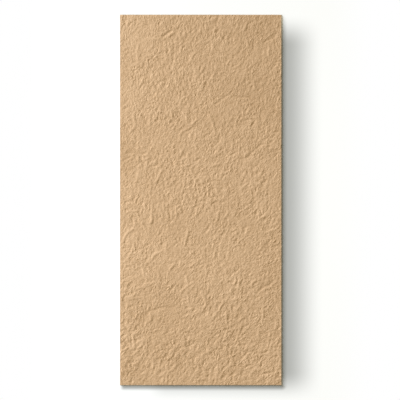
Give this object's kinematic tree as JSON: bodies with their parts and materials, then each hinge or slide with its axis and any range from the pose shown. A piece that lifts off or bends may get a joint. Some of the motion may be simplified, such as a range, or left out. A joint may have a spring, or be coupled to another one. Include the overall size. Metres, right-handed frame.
{
  "type": "flexible ceramic wall panel",
  "caption": "Thin rectangular sheet of flexible ceramic with a wrinkled earth-coloured face, square-trimmed edges and a flat back that is glued to a wall.",
  "frame": {"origin": "middle of the flat back, which lies on the floor", "axes": "+X across the panel, +Y along it towards the top edge of the picture, +Z out of the wrinkled face"},
  "size_m": [1.22, 2.8, 0.005],
  "materials": {
    "clay": "matte, unglazed, sand coloured, with a wrinkled relief"
  },
  "bodies": {
    "root": {"wall_panel": "clay"}
  },
  "joints": []
}
